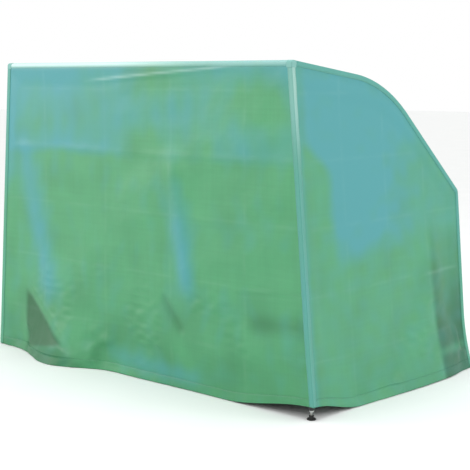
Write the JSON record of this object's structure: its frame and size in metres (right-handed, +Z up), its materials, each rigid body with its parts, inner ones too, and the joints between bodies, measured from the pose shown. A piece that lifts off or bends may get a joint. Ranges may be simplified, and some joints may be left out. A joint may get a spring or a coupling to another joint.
{
  "type": "framed fabric welding screen",
  "caption": "Free-standing screen: a fitted green woven-sheet cover with a sloping rear roof, pulled down over a plug-together tube frame on levelling feet.",
  "frame": {"origin": "on the floor, at the centre of the base", "axes": "+Z up, X along the width, -Y the way the tall flat face looks, +Y the way the roof falls; left is -X and right is +X"},
  "size_m": [2.3408, 1.5014, 1.6416],
  "materials": {
    "cover_fabric": "coated woven polyethylene sheet, semi-matt",
    "hem_fabric": "folded and stitched coated woven sheet",
    "seam_tape": "folded seam tape, stitched along both edges",
    "frame_tube": "powder coated, satin",
    "cast_socket": "moulded glass-filled nylon, fine grain",
    "zinc_plated_steel": "bright zinc plate",
    "foot_rubber": "moulded rubber"
  },
  "bodies": {
    "frame": {"brow_socket_left": "cast_socket", "brow_socket_right": "cast_socket", "eave_rail": "frame_tube", "eave_socket_left": "cast_socket", "eave_socket_right": "cast_socket", "foot_nut_front_left": "zinc_plated_steel", "foot_nut_front_right": "zinc_plated_steel", "foot_nut_rear_left": "zinc_plated_steel", "foot_nut_rear_right": "zinc_plated_steel", "front_bottom_rail": "frame_tube", "front_foot_socket_left": "cast_socket", "front_foot_socket_right": "cast_socket", "front_mid_rail": "frame_tube", "front_post_left": "frame_tube", "front_post_right": "frame_tube", "lower_purlin": "frame_tube", "lower_purlin_tee_left": "cast_socket", "lower_purlin_tee_right": "cast_socket", "mid_tee_left": "cast_socket", "mid_tee_right": "cast_socket", "rear_bottom_rail": "frame_tube", "rear_foot_socket_left": "cast_socket", "rear_foot_socket_right": "cast_socket", "rear_post_left": "frame_tube", "rear_post_right": "frame_tube", "roof_bow_left": "frame_tube", "roof_bow_right": "frame_tube", "side_rail_left": "frame_tube", "side_rail_right": "frame_tube", "top_front_rail": "frame_tube", "upper_purlin": "frame_tube", "upper_purlin_tee_left": "cast_socket", "upper_purlin_tee_right": "cast_socket"},
    "cover": {"brow_seam_tape": "seam_tape", "corner_patch_left": "seam_tape", "corner_patch_right": "seam_tape", "eave_seam_tape": "seam_tape", "front_hem": "hem_fabric", "front_panel": "cover_fabric", "front_seam_tape_left": "seam_tape", "front_seam_tape_right": "seam_tape", "rear_hem": "hem_fabric", "rear_panel": "cover_fabric", "roof_edge_tape_left": "seam_tape", "roof_edge_tape_right": "seam_tape", "roof_panel": "cover_fabric", "side_hem_left": "hem_fabric", "side_hem_right": "hem_fabric", "side_panel_left": "cover_fabric", "side_panel_right": "cover_fabric"},
    "foot_front_left": {"foot_stem_front_left": "zinc_plated_steel"},
    "pad_front_left": {"foot_pad_front_left": "foot_rubber"},
    "foot_front_right": {"foot_stem_front_right": "zinc_plated_steel"},
    "pad_front_right": {"foot_pad_front_right": "foot_rubber"},
    "foot_rear_left": {"foot_stem_rear_left": "zinc_plated_steel"},
    "pad_rear_left": {"foot_pad_rear_left": "foot_rubber"},
    "foot_rear_right": {"foot_stem_rear_right": "zinc_plated_steel"},
    "pad_rear_right": {"foot_pad_rear_right": "foot_rubber"}
  },
  "joints": [
    {"name": "cover_lift", "type": "slide", "parent": "frame", "child": "cover", "axis": [0, 0, 1], "range_m": [0, 1.65]},
    {"name": "foot_screw_front_left", "type": "slide", "parent": "frame", "child": "foot_front_left", "axis": [0, 0, -1], "range_m": [0, 0.015]},
    {"name": "pad_swivel_front_left", "type": "hinge", "parent": "foot_front_left", "child": "pad_front_left", "pos_m": [-1.13588, -0.5842, 0], "axis": [0, 0, 1], "continuous": true},
    {"name": "foot_screw_front_right", "type": "slide", "parent": "frame", "child": "foot_front_right", "axis": [0, 0, -1], "range_m": [0, 0.015]},
    {"name": "pad_swivel_front_right", "type": "hinge", "parent": "foot_front_right", "child": "pad_front_right", "pos_m": [1.13588, -0.5842, 0], "axis": [0, 0, 1], "continuous": true},
    {"name": "foot_screw_rear_left", "type": "slide", "parent": "frame", "child": "foot_rear_left", "axis": [0, 0, -1], "range_m": [0, 0.015]},
    {"name": "pad_swivel_rear_left", "type": "hinge", "parent": "foot_rear_left", "child": "pad_rear_left", "pos_m": [-1.13588, 0.7228, 0], "axis": [0, 0, 1], "continuous": true},
    {"name": "foot_screw_rear_right", "type": "slide", "parent": "frame", "child": "foot_rear_right", "axis": [0, 0, -1], "range_m": [0, 0.015]},
    {"name": "pad_swivel_rear_right", "type": "hinge", "parent": "foot_rear_right", "child": "pad_rear_right", "pos_m": [1.13588, 0.7228, 0], "axis": [0, 0, 1], "continuous": true}
  ]
}
